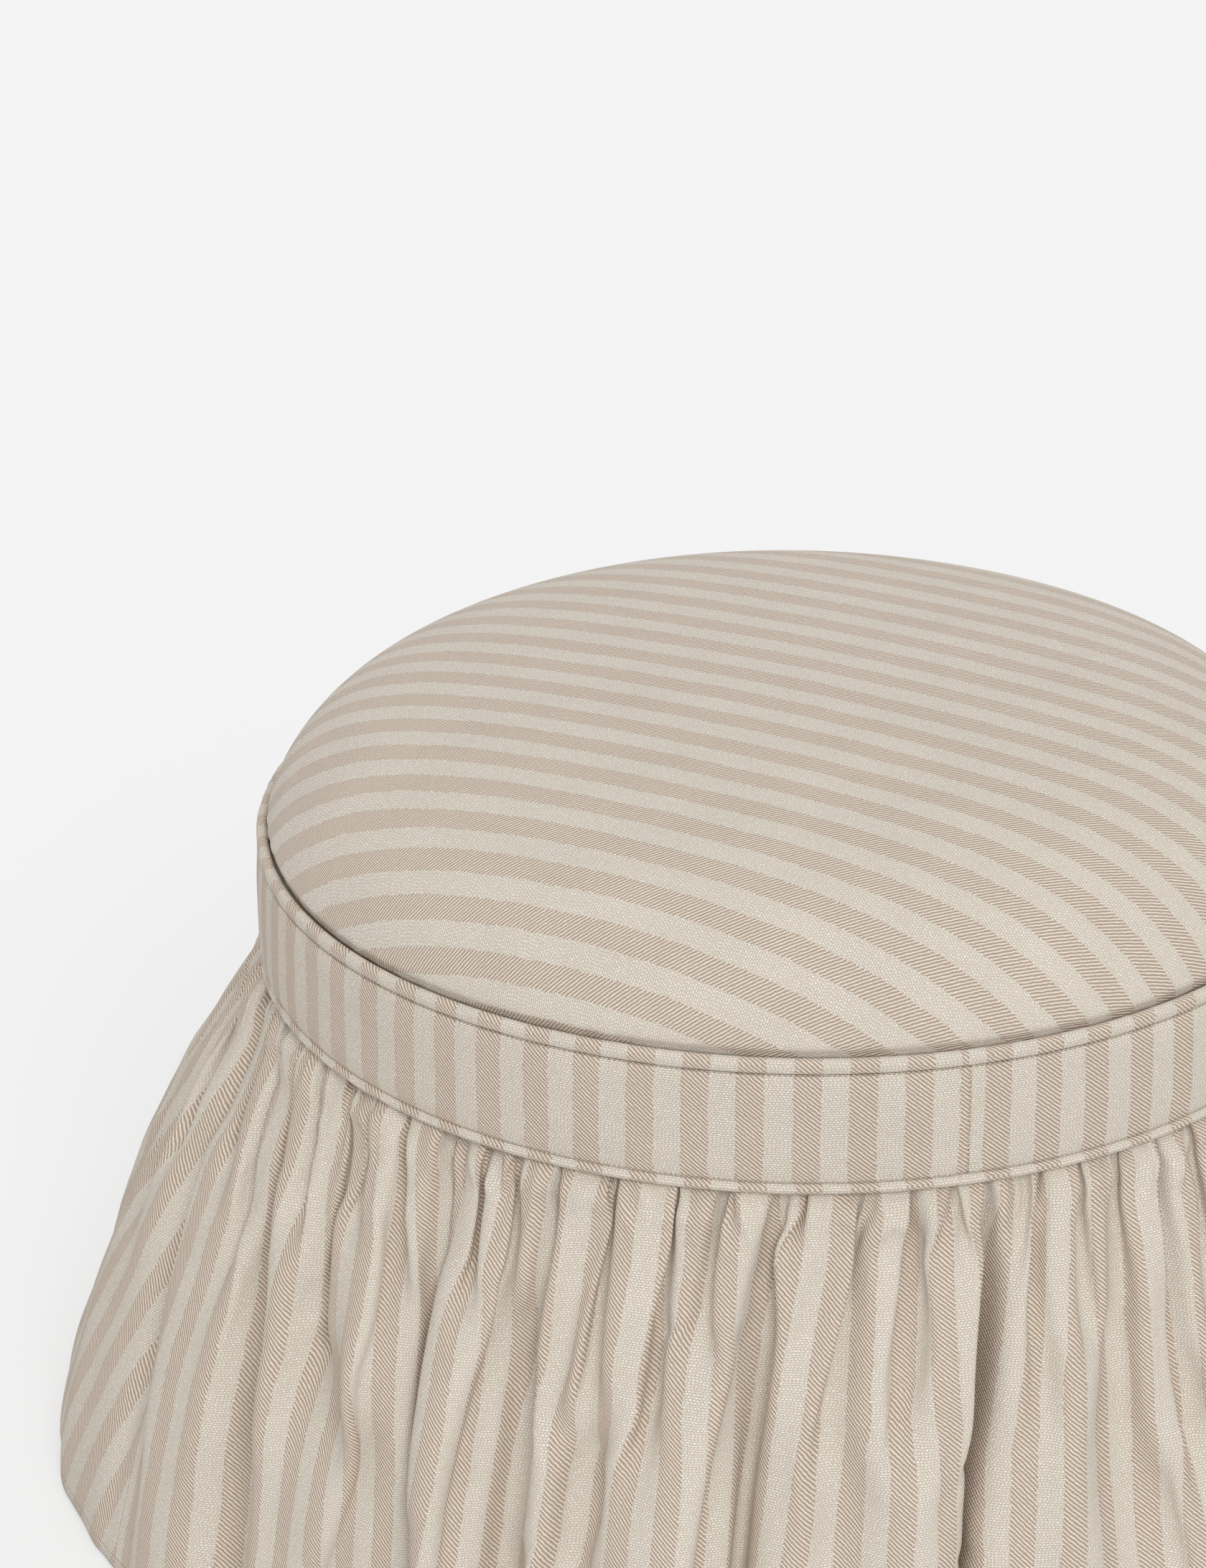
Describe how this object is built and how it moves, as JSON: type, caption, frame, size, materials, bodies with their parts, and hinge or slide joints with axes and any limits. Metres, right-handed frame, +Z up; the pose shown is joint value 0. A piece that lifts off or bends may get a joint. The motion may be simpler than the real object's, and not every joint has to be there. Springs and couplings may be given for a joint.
{
  "type": "round storage ottoman",
  "caption": "Round upholstered storage ottoman with a padded band, a gathered floor-length skirt and a domed cushion lid that lifts off a round storage well.",
  "frame": {"origin": "centre of the drum's axis on the floor that the glides stand on", "axes": "+Z up along the drum's axis and the way the lid lifts, +X to the right and -Y to the front as in the picture"},
  "size_m": [0.7954, 0.7949, 0.4339],
  "materials": {
    "striped_cloth": "woven cream and tan stripe, twill ribs in the tan stripes",
    "lining_cotton": "plain cotton",
    "dust_cloth": "thin black dust cover cloth",
    "wadding": "white polyester wadding and cord",
    "foam": "upholstery foam",
    "plywood": "raw birch plywood",
    "bent_ply": "raw thin plywood",
    "pine": "raw planed pine",
    "liner_card": "grey-brown board",
    "zinc_steel": "zinc plated",
    "glide_plastic": "black moulded nylon"
  },
  "bodies": {
    "base": {"glides": "glide_plastic", "glide_screws": "zinc_steel", "base_dust_cover": "dust_cloth", "base_dust_staples": "zinc_steel", "bottom_panel": "plywood", "uprights": "pine", "top_ring": "plywood", "bottom_screws": "zinc_steel", "ring_screws": "zinc_steel", "wall_left": "bent_ply", "wall_right": "bent_ply", "wall_nails": "zinc_steel", "storage_liner_card": "liner_card", "storage_lining": "lining_cotton", "storage_floor_board": "bent_ply", "storage_floor_cloth": "lining_cotton", "band_padding": "wadding", "band_cover": "striped_cloth", "rim_welt": "striped_cloth", "rim_welt_cord": "wadding", "skirt_welt": "striped_cloth", "skirt_welt_cord": "wadding", "skirt": "striped_cloth", "skirt_lining": "lining_cotton", "tack_strip": "liner_card", "tack_staples": "zinc_steel"},
    "lid": {"lid_panel": "plywood", "lid_foam": "foam", "lid_wadding": "wadding", "lid_cover": "striped_cloth", "lid_cover_staples": "zinc_steel", "lid_dust_cover": "dust_cloth", "lid_dust_staples": "zinc_steel", "lid_cleats": "pine", "cleat_screws": "zinc_steel"}
  },
  "joints": [
    {"name": "lid_lift", "type": "slide", "parent": "base", "child": "lid", "axis": [0, 0, 1], "range_m": [0, 0.15]}
  ]
}
